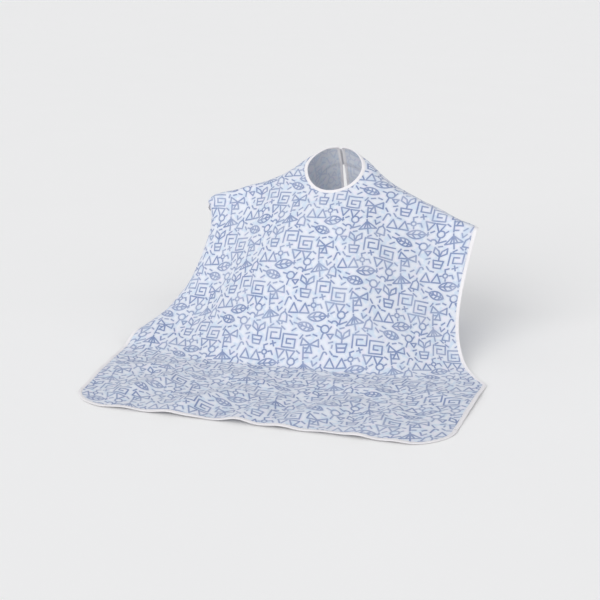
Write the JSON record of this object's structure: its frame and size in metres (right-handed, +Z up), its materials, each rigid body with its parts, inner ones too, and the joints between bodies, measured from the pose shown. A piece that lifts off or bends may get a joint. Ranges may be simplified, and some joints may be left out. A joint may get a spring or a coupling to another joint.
{
  "type": "table cape",
  "caption": "Wide light cloth cape with a taped round neck opening, a back slit closed by a hook-and-loop tab, short back wings and a long front that lies over a table.",
  "frame": {"origin": "centre of the neck opening, in the middle of its tape", "axes": "+X to the wearer's left, +Y to the wearer's back, +Z up; the wearer faces -Y"},
  "size_m": [0.7407, 0.7232, 0.3829],
  "materials": {
    "printed_cloth": "plain-woven light polyester, pale ground with a blue line print, soft sheen",
    "white_tape": "folded white bias tape, fine twill weave",
    "tab_cloth": "white woven tape",
    "hook_tape": "white nylon hook tape",
    "loop_tape": "white brushed loop tape",
    "thread": "white spun polyester thread",
    "label_ribbon": "blank satin ribbon"
  },
  "bodies": {
    "cape": {"cape_cloth": "printed_cloth", "neck_binding": "white_tape", "left_binding": "white_tape", "right_binding": "white_tape", "loop_patch": "loop_tape", "loop_stitching": "thread", "care_label": "label_ribbon"},
    "flap": {"table_flap": "printed_cloth", "flap_binding": "white_tape"},
    "tab": {"closure_tab": "tab_cloth", "hook_patch": "hook_tape", "hook_stitching": "thread"}
  },
  "joints": [
    {"name": "flap_lift", "type": "hinge", "parent": "cape", "child": "flap", "pos_m": [0, -0.294, -0.34], "axis": [-0.9996, -0.0297, 0], "range_deg": [0, 110]},
    {"name": "tab_peel", "type": "hinge", "parent": "cape", "child": "tab", "pos_m": [0.00974, 0.07392, 0.01076], "axis": [0, 0.4924, -0.8704], "range_deg": [0, 150]}
  ]
}
